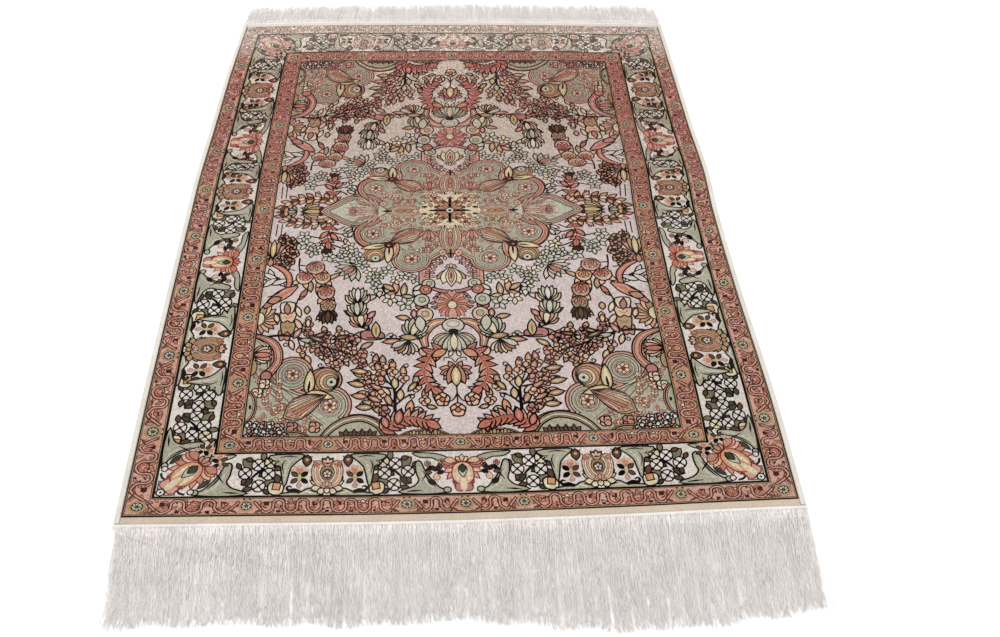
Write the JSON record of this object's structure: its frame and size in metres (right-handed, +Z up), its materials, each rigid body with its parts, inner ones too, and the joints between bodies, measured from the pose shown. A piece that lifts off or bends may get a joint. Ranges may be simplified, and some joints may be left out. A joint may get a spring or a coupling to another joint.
{
  "type": "hereke rug",
  "caption": "Silk hereke rug lying flat, with a floral medallion pile, overcast side cords, woven end bands, corded headings and a warp fringe at each end.",
  "frame": {"origin": "middle of the rug's box, on the surface that the rug lies on", "axes": "+X across the rug, +Y along it from the long front fringe to the short back fringe, +Z up out of the pile"},
  "size_m": [0.9716, 1.5016, 0.003],
  "materials": {
    "silk_pile": "cut silk pile with a soft sheen",
    "side_cord_yarn": "overcast cream yarn",
    "end_band_weave": "matt flat weave, cream",
    "heading_cord": "matt off-white cord weave",
    "fringe_warps": "loose off-white warps"
  },
  "bodies": {
    "root": {"pile": "silk_pile", "side_cord_left": "side_cord_yarn", "side_cord_right": "side_cord_yarn", "end_band_front": "end_band_weave", "end_band_back": "end_band_weave", "heading_front": "heading_cord", "heading_back": "heading_cord", "fringe_front": "fringe_warps", "fringe_back": "fringe_warps"}
  },
  "joints": []
}
